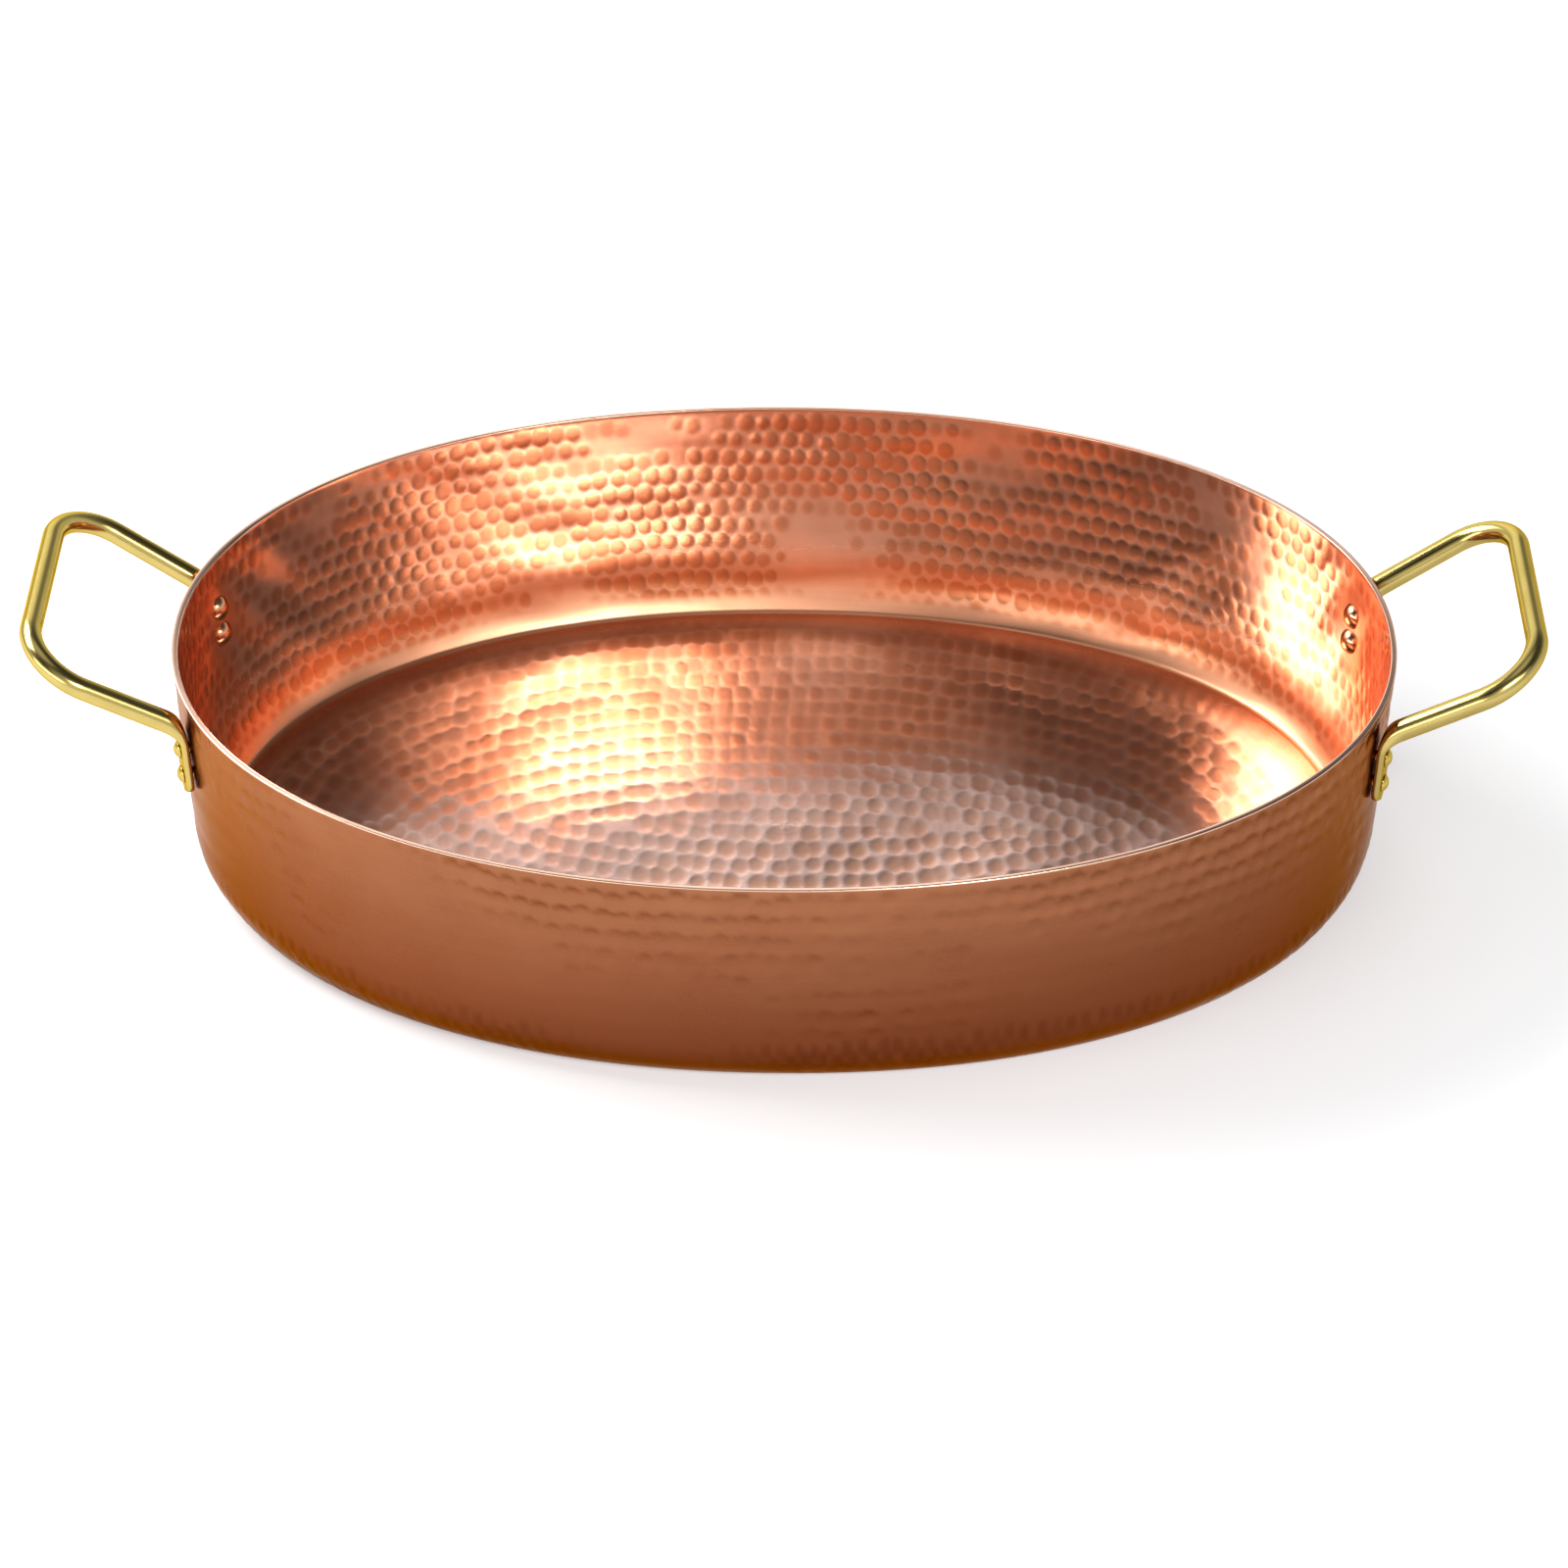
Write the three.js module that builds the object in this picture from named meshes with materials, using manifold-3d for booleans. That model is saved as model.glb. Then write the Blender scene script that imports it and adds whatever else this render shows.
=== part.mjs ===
// Oval hammered copper pan with two riveted brass loop handles.
// Millimetres, +Z up. The origin is the centre of the base underside, and both handles lie along X.

import * as THREE from "three";
import { mergeVertices } from "three/addons/utils/BufferGeometryUtils.js";
import Module from "manifold-3d";

// Pan: one raised copper sheet
const RIM_LENGTH = 400;
const RIM_WIDTH = 280;
const OUTLINE_FULLNESS = 2.1; // exponent of the oval: 2 is an ellipse, more is fuller at the corners
const PAN_HEIGHT = 81.2;
const SHEET = 2;
const WALL_FLARE = THREE.MathUtils.degToRad(2.6);
const SWEEP_RADIUS = 24; // outside, where the lower wall curves in
const SWEEP_ANGLE = THREE.MathUtils.degToRad(44); // how far the wall faces down where it meets the knee
const KNEE_RADIUS = 5; // outside, the tight bend between wall and flat base
const RIM_EDGE_RADIUS = 0.6; // filed edges of the rim

// Handles: bent brass rod with forged flat feet
const ROD_DIAMETER = 7.4;
const HANDLE_REACH = 41.5; // rod centre beyond the end of the rim
const HANDLE_RISE = 17.5; // rod centre above the rim
const GRIP_WIDTH = 96; // between the rod centres of the two legs, at the grip
const FOOT_SPREAD = 81; // between the centres of the two feet
const GRIP_BEND_RADIUS = 19;
const FOOT_BEND_RADIUS = 11;
const FOOT_BEND_DEPTH = 11; // below the rim, where the leg would meet the foot without its bend
const FOOT_THICKNESS = 3;
const FOOT_WIDTH = 10;
const FOOT_FULLNESS = 4; // exponent of the foot's section: 2 is an ellipse, more is squarer
const FLATTENING_RUN = 11; // length over which the round rod turns into the flat foot

// Rivets: two through each foot, large domed head inside, small set head outside
const UPPER_RIVET_DEPTH = 19.5; // below the rim, along the wall
const RIVET_PITCH = 10;
const FOOT_END_MARGIN = 6.6; // from the lower rivet to the end of the foot
const SHANK_DIAMETER = 4;
const INNER_HEAD_DIAMETER = 8.8;
const INNER_HEAD_HEIGHT = 3;
const OUTER_HEAD_DIAMETER = 6;
const OUTER_HEAD_HEIGHT = 1.9;

// Fits
const SEAT_GAP = 0.3; // between a foot and the wall, and under the outer rivet heads
const INNER_HEAD_GAP = 0.45; // under the inner heads, which sit in the hollow of the wall
const HOLE_CLEARANCE = 0.3; // around a rivet shank
const HOLE_OVERRUN = 5; // a drilled hole passes this far beyond what it goes through

// Fineness of the round surfaces
const PAN_SEGMENTS = 112;
const SWEEP_STEPS = 5;
const KNEE_STEPS = 3;
const RIM_EDGE_STEPS = 2;
const ROD_SIDES = 14;
const BEND_STEPS = 8;
const STRAIGHT_STEPS = 2;
const FOOT_STEPS = 6;
const FOOT_TIP_STOPS = [0.06, 0.2, 0.5, 1]; // shares of the rounded end of a foot
const RIVET_SEGMENTS = 14;
const DOME_STEPS = 4;

const copper = { color: 0xc87a52, roughness: 0.32, metalness: 1 };
const brass = { color: 0xc9a54a, roughness: 0.18, metalness: 1 };

const wasm = await Module();
wasm.setup();

function solidFrom(geometry) {
  const bare = geometry.clone();
  bare.deleteAttribute("normal");
  bare.deleteAttribute("uv");
  const merged = mergeVertices(bare);
  const corners = Array.from(merged.index.array);
  const triangles = [];
  for (let i = 0; i < corners.length; i += 3) {
    const [a, b, c] = corners.slice(i, i + 3);
    if (a !== b && b !== c && c !== a) {
      triangles.push(a, b, c);
    }
  }
  const vertProperties = Float32Array.from(merged.attributes.position.array);
  const triVerts = Uint32Array.from(triangles);
  return new wasm.Manifold(new wasm.Mesh({ numProp: 3, vertProperties, triVerts }));
}

function geometryFrom(solid) {
  const mesh = solid.getMesh();
  const geometry = new THREE.BufferGeometry();
  geometry.setAttribute("position", new THREE.BufferAttribute(mesh.vertProperties, 3));
  geometry.setIndex(new THREE.BufferAttribute(mesh.triVerts, 1));
  geometry.computeVertexNormals();
  return geometry;
}

function cut(geometry, cutters) {
  let solid = solidFrom(geometry);
  for (const cutter of cutters) {
    solid = solid.subtract(solidFrom(cutter));
  }
  return geometryFrom(solid);
}

function piece(name, geometry, look) {
  const mesh = new THREE.Mesh(geometry, new THREE.MeshStandardMaterial(look));
  mesh.name = name;
  return mesh;
}

function arc(centreX, centreY, radius, from, to, steps) {
  const points = [];
  for (let i = 0; i <= steps; i++) {
    const angle = from + ((to - from) * i) / steps;
    points.push(new THREE.Vector2(centreX + radius * Math.cos(angle), centreY + radius * Math.sin(angle)));
  }
  return points;
}

// The rim's outer edge, seen from above: a point of the oval and its outward direction
function outlineFrom(cosine, sine) {
  const power = 2 / OUTLINE_FULLNESS;
  const signed = (value, exponent) => Math.sign(value) * Math.abs(value) ** exponent;
  const halfLength = RIM_LENGTH / 2;
  const halfWidth = RIM_WIDTH / 2;
  const point = new THREE.Vector2(halfLength * signed(cosine, power), halfWidth * signed(sine, power));
  const outward = new THREE.Vector2(
    signed(cosine, 2 - power) / halfLength,
    signed(sine, 2 - power) / halfWidth,
  );
  return { point, outward: outward.normalize() };
}

function outlineBeside(y) {
  const sine = Math.sign(y) * (Math.abs(y) / (RIM_WIDTH / 2)) ** (OUTLINE_FULLNESS / 2);
  return outlineFrom(Math.sqrt(1 - sine * sine), sine);
}

// Section of the pan along its long half, from the middle of the base round to the middle of the floor
const sweepHeight = KNEE_RADIUS + (SWEEP_RADIUS - KNEE_RADIUS) * Math.sin(SWEEP_ANGLE);
const sweepCentre = RIM_LENGTH / 2
  - (PAN_HEIGHT - sweepHeight) * Math.tan(WALL_FLARE)
  - SWEEP_RADIUS / Math.cos(WALL_FLARE);
const kneeCentre = sweepCentre + (SWEEP_RADIUS - KNEE_RADIUS) * Math.cos(SWEEP_ANGLE);

function panSection() {
  const rimOutside = RIM_LENGTH / 2;
  const rimInside = rimOutside - SHEET / Math.cos(WALL_FLARE);
  const edgeHeight = PAN_HEIGHT - RIM_EDGE_RADIUS;
  const edgeLean = RIM_EDGE_RADIUS * Math.tan(WALL_FLARE);
  const outerEdge = rimOutside - edgeLean - RIM_EDGE_RADIUS;
  const innerEdge = rimInside - edgeLean + RIM_EDGE_RADIUS;
  const up = Math.PI / 2;
  const down = -Math.PI / 2;
  const innerSweep = SWEEP_RADIUS - SHEET;
  const innerKnee = KNEE_RADIUS - SHEET;
  return [
    new THREE.Vector2(0, 0),
    ...arc(kneeCentre, KNEE_RADIUS, KNEE_RADIUS, down, -SWEEP_ANGLE, KNEE_STEPS),
    ...arc(sweepCentre, sweepHeight, SWEEP_RADIUS, -SWEEP_ANGLE, -WALL_FLARE, SWEEP_STEPS).slice(1),
    ...arc(outerEdge, edgeHeight, RIM_EDGE_RADIUS, 0, up, RIM_EDGE_STEPS),
    ...arc(innerEdge, edgeHeight, RIM_EDGE_RADIUS, up, Math.PI, RIM_EDGE_STEPS),
    ...arc(sweepCentre, sweepHeight, innerSweep, -WALL_FLARE, -SWEEP_ANGLE, SWEEP_STEPS),
    ...arc(kneeCentre, KNEE_RADIUS, innerKnee, -SWEEP_ANGLE, down, KNEE_STEPS).slice(1),
    new THREE.Vector2(0, SHEET),
  ];
}

// The section is spun round, and each ring is then drawn in from the rim's oval by as much as the section
function panShell() {
  const shell = new THREE.LatheGeometry(panSection(), PAN_SEGMENTS);
  const position = shell.attributes.position;
  for (let i = 0; i < position.count; i++) {
    const spun = Math.hypot(position.getX(i), position.getZ(i));
    const angle = Math.atan2(position.getX(i), position.getZ(i));
    const height = position.getY(i);
    const { point, outward } = outlineFrom(Math.cos(angle), Math.sin(angle));
    const drawnIn = RIM_LENGTH / 2 - Math.max(spun, kneeCentre);
    const towardsMiddle = Math.min(spun / kneeCentre, 1);
    point.addScaledVector(outward, -drawnIn).multiplyScalar(towardsMiddle);
    position.setXYZ(i, point.x, point.y, height);
  }
  return shell;
}

// A foot's own axes on the wall at the pan's +X end: X across the foot, Y out of the wall, Z up the wall,
// with its origin on the wall's outer face at the rim
function footAxes(end) {
  const { point, outward } = outlineBeside((end * FOOT_SPREAD) / 2);
  const lean = Math.sin(WALL_FLARE);
  const upright = Math.cos(WALL_FLARE);
  const out = new THREE.Vector3(outward.x * upright, outward.y * upright, -lean);
  const up = new THREE.Vector3(outward.x * lean, outward.y * lean, upright);
  const across = new THREE.Vector3().crossVectors(out, up);
  return new THREE.Matrix4().makeBasis(across, out, up).setPosition(point.x, point.y, PAN_HEIGHT);
}

const RIVET_DEPTHS = { upper: UPPER_RIVET_DEPTH, lower: UPPER_RIVET_DEPTH + RIVET_PITCH };
const FOOT_END_DEPTH = RIVET_DEPTHS.lower + FOOT_END_MARGIN;
const FOOT_ENDS = [-1, 1];

// Through-holes for the rivets of the +X handle, long enough to pass wall and foot
function rivetHoles() {
  const holes = [];
  const radius = SHANK_DIAMETER / 2 + HOLE_CLEARANCE;
  const length = 2 * (SHEET + SEAT_GAP + FOOT_THICKNESS + HOLE_OVERRUN);
  for (const end of FOOT_ENDS) {
    for (const depth of Object.values(RIVET_DEPTHS)) {
      const hole = new THREE.CylinderGeometry(radius, radius, length, RIVET_SEGMENTS);
      hole.translate(0, 0, -depth);
      holes.push(hole.applyMatrix4(footAxes(end)));
    }
  }
  return holes;
}

// A straight-sided route with each inner corner rounded to its own radius
function roundedRoute(corners, radii) {
  const route = new THREE.CurvePath();
  let from = corners[0];
  for (let i = 1; i < corners.length - 1; i++) {
    const back = corners[i - 1].clone().sub(corners[i]).normalize();
    const ahead = corners[i + 1].clone().sub(corners[i]).normalize();
    const turn = Math.PI - back.angleTo(ahead);
    const setback = radii[i - 1] * Math.tan(turn / 2);
    const pull = radii[i - 1] * (4 / 3) * Math.tan(turn / 4);
    const start = corners[i].clone().addScaledVector(back, setback);
    const stop = corners[i].clone().addScaledVector(ahead, setback);
    const startPull = start.clone().addScaledVector(back, -pull);
    const stopPull = stop.clone().addScaledVector(ahead, -pull);
    route.add(new THREE.LineCurve3(from, start));
    route.add(new THREE.CubicBezierCurve3(start, startPull, stopPull, stop));
    from = stop;
  }
  route.add(new THREE.LineCurve3(from, corners[corners.length - 1]));
  return route;
}

function handleRoute() {
  const standoff = SEAT_GAP + FOOT_THICKNESS / 2;
  const onFoot = (end, depth) => new THREE.Vector3(0, standoff, -depth).applyMatrix4(footAxes(end));
  const gripX = RIM_LENGTH / 2 + HANDLE_REACH;
  const gripZ = PAN_HEIGHT + HANDLE_RISE;
  const corners = [
    onFoot(-1, FOOT_END_DEPTH),
    onFoot(-1, FOOT_BEND_DEPTH),
    new THREE.Vector3(gripX, -GRIP_WIDTH / 2, gripZ),
    new THREE.Vector3(gripX, GRIP_WIDTH / 2, gripZ),
    onFoot(1, FOOT_BEND_DEPTH),
    onFoot(1, FOOT_END_DEPTH),
  ];
  return roundedRoute(corners, [FOOT_BEND_RADIUS, GRIP_BEND_RADIUS, GRIP_BEND_RADIUS, FOOT_BEND_RADIUS]);
}

// Where sections are laid along the route: closely over the feet and bends, only at the ends of straights
function sectionStops(route) {
  const stops = [0];
  const lengths = route.getCurveLengths();
  route.curves.forEach((curve, i) => {
    const start = i === 0 ? 0 : lengths[i - 1];
    const isFoot = i === 0 || i === route.curves.length - 1;
    const isBend = curve.isCubicBezierCurve3 === true;
    const steps = isFoot ? FOOT_STEPS : isBend ? BEND_STEPS : STRAIGHT_STEPS;
    for (let step = 1; step <= steps; step++) {
      stops.push(start + ((lengths[i] - start) * step) / steps);
    }
  });
  const tip = FOOT_WIDTH / 2;
  const roundings = FOOT_TIP_STOPS.map((share) => share * tip);
  const total = lengths[lengths.length - 1];
  const inner = stops.filter((stop) => stop > tip && stop < total - tip);
  return [...roundings, ...inner, ...roundings.map((stop) => total - stop).reverse()];
}

// The rod's half width and half thickness at a distance from the end of a foot
function rodSection(fromEnd) {
  const bend = FOOT_END_DEPTH - FOOT_BEND_DEPTH;
  const halfRun = FLATTENING_RUN / 2;
  const roundness = THREE.MathUtils.smoothstep(fromEnd, bend - halfRun, bend + halfRun);
  const radius = ROD_DIAMETER / 2;
  const tip = FOOT_WIDTH / 2;
  const beforeTip = Math.max(0, tip - fromEnd);
  const flatHalfWidth = Math.sqrt(tip * tip - beforeTip * beforeTip);
  return {
    halfWidth: THREE.MathUtils.lerp(flatHalfWidth, radius, roundness),
    halfThickness: THREE.MathUtils.lerp(FOOT_THICKNESS / 2, radius, roundness),
    fullness: THREE.MathUtils.lerp(FOOT_FULLNESS, 2, roundness),
  };
}

// The handle is lofted through sections that turn from flat feet to round rod and back
function handleLoft() {
  const route = handleRoute();
  const total = route.getLength();
  const stops = sectionStops(route);
  const vertices = [];
  let across = new THREE.Vector3().setFromMatrixColumn(footAxes(-1), 0);
  const footAcross = FOOT_ENDS.map((end) => new THREE.Vector3().setFromMatrixColumn(footAxes(end), 0));
  for (const stop of stops) {
    const share = stop / total;
    const centre = route.getPointAt(share);
    const along = route.getTangentAt(share);
    across = across.addScaledVector(along, -across.dot(along)).normalize();
    const beside = new THREE.Vector3().crossVectors(along, across);
    const nearEnd = share < 0.5 ? 0 : 1;
    const wide = footAcross[nearEnd].clone();
    wide.addScaledVector(along, -wide.dot(along)).normalize();
    const thick = new THREE.Vector3().crossVectors(along, wide);
    const { halfWidth, halfThickness, fullness } = rodSection(Math.min(stop, total - stop));
    const bulge = (value) => Math.sign(value) * Math.abs(value) ** (2 / fullness);
    for (let side = 0; side < ROD_SIDES; side++) {
      const angle = (2 * Math.PI * side) / ROD_SIDES;
      const spoke = across.clone().multiplyScalar(Math.cos(angle)).addScaledVector(beside, Math.sin(angle));
      const corner = centre.clone();
      corner.addScaledVector(wide, halfWidth * bulge(spoke.dot(wide)));
      corner.addScaledVector(thick, halfThickness * bulge(spoke.dot(thick)));
      vertices.push(corner);
    }
  }
  const faces = [];
  for (let ring = 0; ring < stops.length - 1; ring++) {
    for (let side = 0; side < ROD_SIDES; side++) {
      const next = (side + 1) % ROD_SIDES;
      const a = ring * ROD_SIDES + side;
      const b = ring * ROD_SIDES + next;
      faces.push(a, b, b + ROD_SIDES, a, b + ROD_SIDES, a + ROD_SIDES);
    }
  }
  const lastRing = (stops.length - 1) * ROD_SIDES;
  for (let side = 1; side < ROD_SIDES - 1; side++) {
    faces.push(0, side + 1, side);
    faces.push(lastRing, lastRing + side, lastRing + side + 1);
  }
  const loft = new THREE.BufferGeometry().setFromPoints(vertices);
  loft.setIndex(faces);
  return loft;
}

// A rivet about its own Y axis, which points out of the wall, with its origin on the wall's outer face
function rivetBody() {
  const dome = (diameter, height, seat, sign) => {
    const sphere = (diameter * diameter / 4 + height * height) / (2 * height);
    const edge = Math.asin(diameter / 2 / sphere);
    const points = arc(0, 0, sphere, 0, edge, DOME_STEPS);
    const top = seat + sign * (height - sphere);
    return points.map((p) => new THREE.Vector2(p.y, top + sign * p.x));
  };
  const innerSeat = -SHEET - INNER_HEAD_GAP;
  const outerSeat = 2 * SEAT_GAP + FOOT_THICKNESS;
  const section = [
    ...dome(INNER_HEAD_DIAMETER, INNER_HEAD_HEIGHT, innerSeat, -1),
    new THREE.Vector2(SHANK_DIAMETER / 2, innerSeat),
    new THREE.Vector2(SHANK_DIAMETER / 2, outerSeat),
    ...dome(OUTER_HEAD_DIAMETER, OUTER_HEAD_HEIGHT, outerSeat, 1).reverse(),
  ];
  return new THREE.LatheGeometry(section, RIVET_SEGMENTS);
}

// One handle with its four rivets, at the +X end of the pan
function handleSet(side, rowNames) {
  const set = new THREE.Group();
  set.add(piece(`handle_${side}`, cut(handleLoft(), rivetHoles()), brass));
  FOOT_ENDS.forEach((end, i) => {
    const foot = new THREE.Group();
    footAxes(end).decompose(foot.position, foot.quaternion, foot.scale);
    for (const [level, depth] of Object.entries(RIVET_DEPTHS)) {
      const rivet = piece(`rivet_${side}_${rowNames[i]}_${level}`, rivetBody(), brass);
      rivet.position.set(0, 0, -depth);
      foot.add(rivet);
    }
    set.add(foot);
  });
  return set;
}

const halfTurn = new THREE.Matrix4().makeRotationZ(Math.PI);
const wallHoles = [...rivetHoles(), ...rivetHoles().map((hole) => hole.applyMatrix4(halfTurn))];

const pan = new THREE.Group();
pan.add(piece("pan_body", cut(panShell(), wallHoles), copper));
pan.add(handleSet("right", ["front", "back"]));
const leftSet = handleSet("left", ["back", "front"]);
leftSet.rotation.z = Math.PI;
pan.add(leftSet);

export default pan;
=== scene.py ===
"""Oval pan raised from copper sheet and hammered all over, with two riveted brass handles."""
import math

import bpy
import numpy as np
from mathutils import Matrix, Vector


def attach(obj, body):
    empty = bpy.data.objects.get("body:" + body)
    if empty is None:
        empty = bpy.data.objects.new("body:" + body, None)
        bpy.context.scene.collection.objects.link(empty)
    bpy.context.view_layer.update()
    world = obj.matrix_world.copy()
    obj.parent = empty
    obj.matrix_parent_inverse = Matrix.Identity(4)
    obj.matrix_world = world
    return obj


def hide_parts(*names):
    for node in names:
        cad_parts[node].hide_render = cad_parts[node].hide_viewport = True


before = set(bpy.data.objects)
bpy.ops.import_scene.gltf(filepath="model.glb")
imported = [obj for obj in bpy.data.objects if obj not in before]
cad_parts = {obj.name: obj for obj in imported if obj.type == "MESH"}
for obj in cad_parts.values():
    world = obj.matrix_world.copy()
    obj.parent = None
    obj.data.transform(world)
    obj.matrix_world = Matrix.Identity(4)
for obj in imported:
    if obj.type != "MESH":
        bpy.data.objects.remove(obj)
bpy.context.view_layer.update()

MM = 0.001
HALF_TURN = Matrix.Rotation(math.pi, 4, "Z")

# Sizes of the solids, in millimetres
RIM_LENGTH = 400
RIM_WIDTH = 280
OUTLINE_FULLNESS = 2.1
PAN_HEIGHT = 81.2
SHEET = 2
WALL_FLARE = math.radians(2.6)
SWEEP_RADIUS = 24
SWEEP_ANGLE = math.radians(44)
KNEE_RADIUS = 5
ROD_DIAMETER = 7.4
HANDLE_REACH = 41.5
HANDLE_RISE = 17.5
GRIP_WIDTH = 96
FOOT_SPREAD = 81
GRIP_BEND_RADIUS = 19
FOOT_BEND_RADIUS = 11
FOOT_BEND_DEPTH = 11
FOOT_THICKNESS = 3
FOOT_WIDTH = 10
FOOT_FULLNESS = 4
FLATTENING_RUN = 11
UPPER_RIVET_DEPTH = 19.5
RIVET_PITCH = 10
FOOT_END_MARGIN = 6.6
INNER_HEAD_DIAMETER = 8.8
OUTER_HEAD_DIAMETER = 6
SEAT_GAP = 0.3

RIVET_DEPTHS = {"upper": UPPER_RIVET_DEPTH, "lower": UPPER_RIVET_DEPTH + RIVET_PITCH}
FOOT_END_DEPTH = RIVET_DEPTHS["lower"] + FOOT_END_MARGIN

# The skin lies this far inside the outline of the solid, whose facets cut its curves a little short
SKIN_INSET = 0.02

# The round rod stays within the flat sides of the solid's, and its first ring lies this far from its end
ROD_SHARE = 0.975
ROD_TIP = 0.02

# Rivet heads a little lower than the solids', set close on the wall and the foot
INNER_HEAD_HEIGHT = 2.5
OUTER_HEAD_HEIGHT = 1.6
INNER_HEAD_GAP = 0.08
OUTER_HEAD_GAP = 0.02
SHANK_RADIUS = 1.9

# The filed rim: its rounded edges, the band of wall that it takes up, and the slope of its face, which falls
# inwards on this side of the pan and outwards opposite
RIM_EDGE_RADIUS = 0.5
RIM_BAND = 1.2
RIM_TILT = 0.24
RIM_TILT_TO = math.radians(215)

# The floor rises a little into the corner at the right end, as hammering leaves it: how far, from how far in,
# and how far up the wall this fades out
DISH_RISE = 2
DISH_WIDTH = 26
DISH_UP_WALL = 16

# The bends below the straight wall, as radius and how far the wall faces down at the end of each. Inside,
# they start higher and more gently, so the foot of the wall is a little fuller
OUTER_BENDS = [(SWEEP_RADIUS, SWEEP_ANGLE), (KNEE_RADIUS, math.pi / 2)]
INNER_BENDS = [(100, math.radians(8)), (34, math.radians(36)), (KNEE_RADIUS - SHEET, math.pi / 2)]

# Hammer marks end this far from a rivet's axis, and fade over this much more. On the floor they leave a plain
# border, which is wider by this much at the right end
RIVET_CLEAR = 7
RIVET_FADE = 9
FLOOR_BORDER = 7
FLOOR_BORDER_MORE = 12

# How finely the copper, rods and rivets are meshed, so that each hammer mark is a real hollow
OUTLINE_SAMPLES = 40001
INSIDE_COLUMNS = 1344
INSIDE_STEP = 0.8
OUTSIDE_STEP = 1
FLOOR_RINGS = 190
BASE_RINGS = 60
ROD_SIDES = 36
ROD_BEND_STEP = 0.9
ROD_STRAIGHT_STEP = 1.2
RIVET_SIDES = 32
DOME_STEPS = 12

# The way down from the rim that the copper reads at the edges of floor and base, and from there to the middle
FLOOR_EDGE_DOWN = 85
BASE_EDGE_DOWN = 87
EDGE_TO_MIDDLE = 126

# Sizes of what the finishes show, in millimetres
STREAK_LENGTH = 45
STREAK_HEIGHT = 1.5
CLOUD_SIZE = 32
GRIT_SIZE = 1.2
GRIT_HEIGHT = 0.04
FULL_HOLLOW = 0.06
HANDLING_MARK_SIZE = 14
BUFFING_LINE_SIZE = 0.9
BUFFING_LINE_HEIGHT = 0.03

# Wear of the copper: the noise between bright and fully worn, and the aged metal mixed in there
WEAR_FROM = 0.5
WEAR_TO = 0.9
AGED_COPPER = "#7a3d22"
AGED_SHARE = 0.25

# The satin foot of the inner wall: the way down where it begins and is full, and where it ends on the floor
FOOT_FROM = 46
FOOT_FULL = 60
FOOT_TO = 84
FLOOR_FROM = 92

# The studio floor, in millimetres: it lies below the base, so that the two faces don't share a plane
FLOOR_GAP = 0.1
FLOOR_HALF_SIZE = 3000

# The floor's own glow, near the pan and far from it, as distance in metres and strength
FLOOR_GLOW_NEAR = (0.65, 0.27)
FLOOR_GLOW_FAR = (1.9, 0.7)

# Brightness of the room: near the horizon, at middle height and overhead, the share of it on the right, and as
# the camera sees it, which is white in spite of the room's faint blue
ROOM_LOW = 0.85
ROOM_MIDDLE = 0.38
ROOM_OVERHEAD = 0.1
ROOM_RIGHT_SHARE = 0.62
ROOM_SEEN = 1.05

# Soft glows of the room: azimuth and elevation of the middle, how far from it each is full and where it ends,
# all in degrees, and its strength, which is negative where the room is dimmer
ROOM_GLOWS = [
    (-84, 33, 8, 38, 0.33),
    (112, 35, 4, 27, 0.6),
    (99, 14, 14, 26, 0.72),
    (125, 82, 2, 26, 0.6),
    (-135, 30, 10, 30, -0.14),
    (-31, 38, 3, 12, 0.35),
]


def linear(colour):
    """An sRGB hex colour as linear red, green, blue and alpha."""
    parts = [int(colour[i:i + 2], 16) / 255 for i in (1, 3, 5)]
    return (*[c / 12.92 if c <= 0.04045 else ((c + 0.055) / 1.055) ** 2.4 for c in parts], 1)


def add(tree, kind, inputs=None, **settings):
    """One node with its settings; an input is a value, or an output socket to link from."""
    node = tree.nodes.new(kind)
    for name, value in settings.items():
        setattr(node, name, value)
    for name, value in (inputs or {}).items():
        if isinstance(value, bpy.types.NodeSocket):
            tree.links.new(value, node.inputs[name])
        else:
            node.inputs[name].default_value = value
    return node


def new_material(name):
    material = bpy.data.materials.new(name)
    material.use_nodes = True
    material.node_tree.nodes.clear()
    return material, material.node_tree


def finish_material(tree, shader):
    output = add(tree, "ShaderNodeOutputMaterial")
    tree.links.new(shader.outputs[0], output.inputs["Surface"])


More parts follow.
